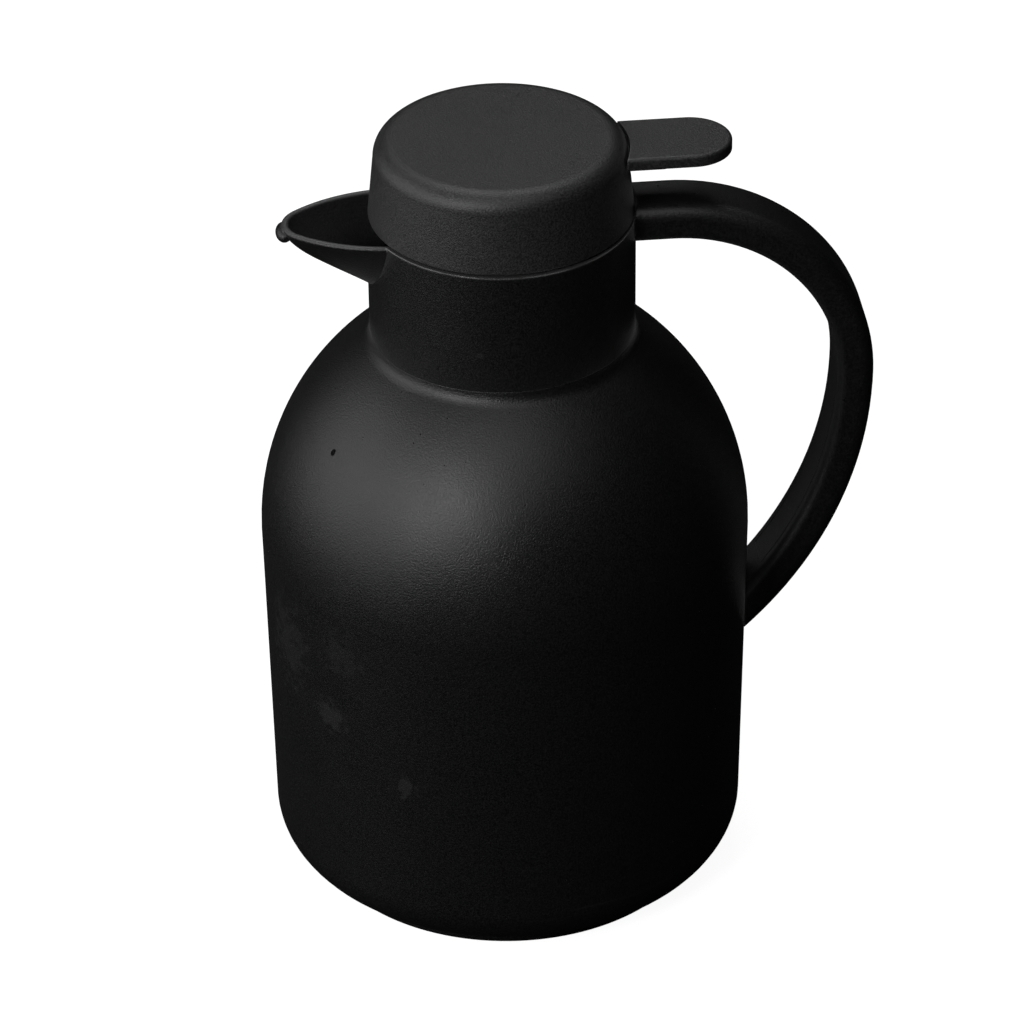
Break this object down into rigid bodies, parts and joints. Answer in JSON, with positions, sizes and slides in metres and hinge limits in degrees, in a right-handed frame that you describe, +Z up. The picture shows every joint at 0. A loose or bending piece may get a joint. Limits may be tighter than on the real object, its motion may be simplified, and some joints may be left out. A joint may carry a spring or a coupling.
{
  "type": "thermal carafe",
  "caption": "Tall thermal carafe with domed shoulder, straight neck, open beak spout, bow handle and a screw-in closure whose thumb lever lifts a sprung pouring valve.",
  "frame": {"origin": "centre of the standing ring, on the body axis, in the standing plane", "axes": "+Z up along the body axis, +X towards the handle and -X towards the spout, +Y across"},
  "size_m": [0.175, 0.14, 0.234],
  "materials": {
    "body_plastic": "fine-grained black",
    "handle_plastic": "satin black",
    "cap_plastic": "fine-grained black",
    "closure_plastic": "smooth black",
    "flask_glass": "silvered glass",
    "seal_silicone": "soft silicone",
    "cushion_rubber": "soft rubber",
    "steel": "stainless"
  },
  "bodies": {
    "carafe": {"outer_jacket": "body_plastic", "neck_collar": "body_plastic", "handle_shell": "handle_plastic", "handle_inner_cover": "handle_plastic", "handle_screw": "steel", "flask_outer_wall": "flask_glass", "flask_inner_wall": "flask_glass", "flask_mouth_seal": "seal_silicone", "flask_cushion": "cushion_rubber", "base_cover": "body_plastic"},
    "closure_seal": {"stopper_seal": "seal_silicone"},
    "closure": {"cap_shell": "cap_plastic", "stopper_body": "closure_plastic", "stopper_top": "closure_plastic", "lever_pin": "steel"},
    "lever": {"thumb_lever": "cap_plastic"},
    "valve": {"valve_plunger": "closure_plastic", "valve_gasket": "seal_silicone", "lift_pin": "steel", "return_spring": "steel"}
  },
  "joints": [
    {"name": "closure_lift", "type": "slide", "parent": "carafe", "child": "closure_seal", "axis": [0, 0, 1], "range_m": [0, 0.07]},
    {"name": "closure_turn", "type": "hinge", "parent": "closure_seal", "child": "closure", "pos_m": [0, 0, 0.2], "axis": [0, 0, 1], "range_deg": [0, 120]},
    {"name": "lever_press", "type": "hinge", "parent": "closure", "child": "lever", "pos_m": [0.026, 0, 0.2248], "axis": [0, 1, 0], "range_deg": [0, 15], "stiffness_Nm_per_rad": 0.08, "springref_deg": -14.32},
    {"name": "valve_lift", "type": "slide", "parent": "closure", "child": "valve", "axis": [0, 0, 1], "range_m": [0, 0.00686], "deforming": ["return_spring"]}
  ],
  "couplings": [
    {"joint": "lever_press", "follows": "valve_lift", "rad_per_m": 38.139}
  ]
}
